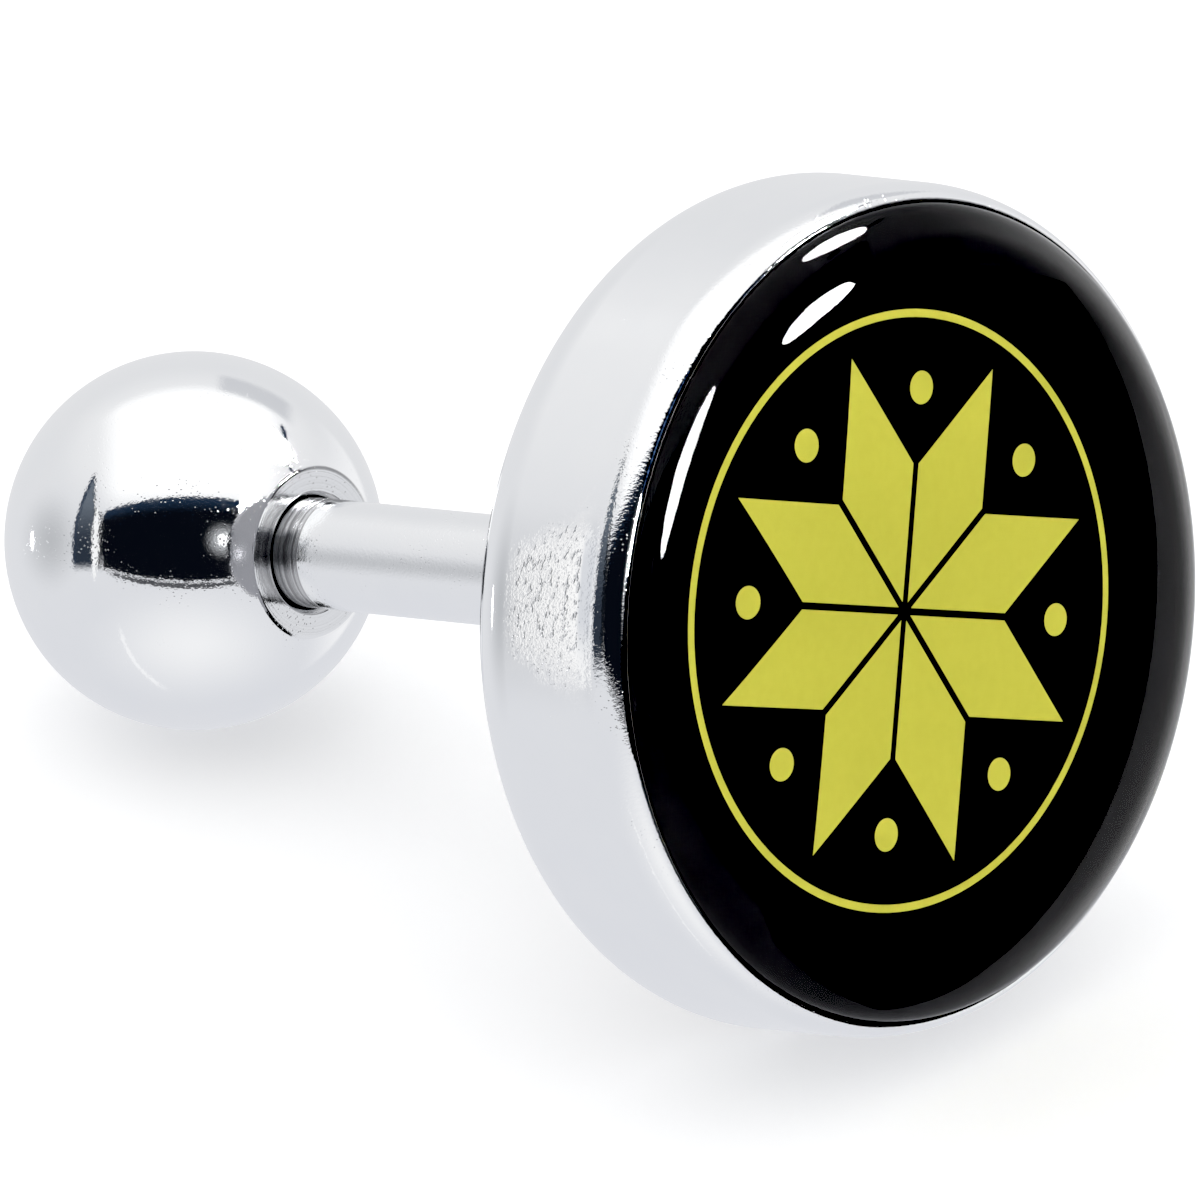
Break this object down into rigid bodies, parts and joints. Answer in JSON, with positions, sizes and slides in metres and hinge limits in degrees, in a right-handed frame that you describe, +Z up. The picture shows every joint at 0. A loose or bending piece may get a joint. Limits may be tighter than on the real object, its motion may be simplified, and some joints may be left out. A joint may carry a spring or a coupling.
{
  "type": "tragus stud",
  "caption": "Ear stud for a tragus piercing: a straight post with a round steel cup, a printed face under a clear resin dome, and a ball that screws on.",
  "frame": {"origin": "on the surface that the stud lies on, in the middle of its box", "axes": "+X along the stud's longest side, from the ball towards the cup; +Z up from the surface that it lies on"},
  "size_m": [0.0134, 0.0088, 0.0088],
  "materials": {
    "steel": "mirror-polished surgical steel with fine pits and polishing scratches",
    "print": "black print with a yellow ornament, matt",
    "resin": "clear glossy epoxy"
  },
  "bodies": {
    "ball": {"screw_ball": "steel"},
    "stud": {"cup_and_post": "steel", "picture_disc": "print", "resin_dome": "resin"}
  },
  "joints": [
    {"name": "ball_unscrews", "type": "slide", "parent": "ball", "child": "stud", "axis": [0.9663, 0, 0.2573], "range_m": [0, 0.003]}
  ]
}
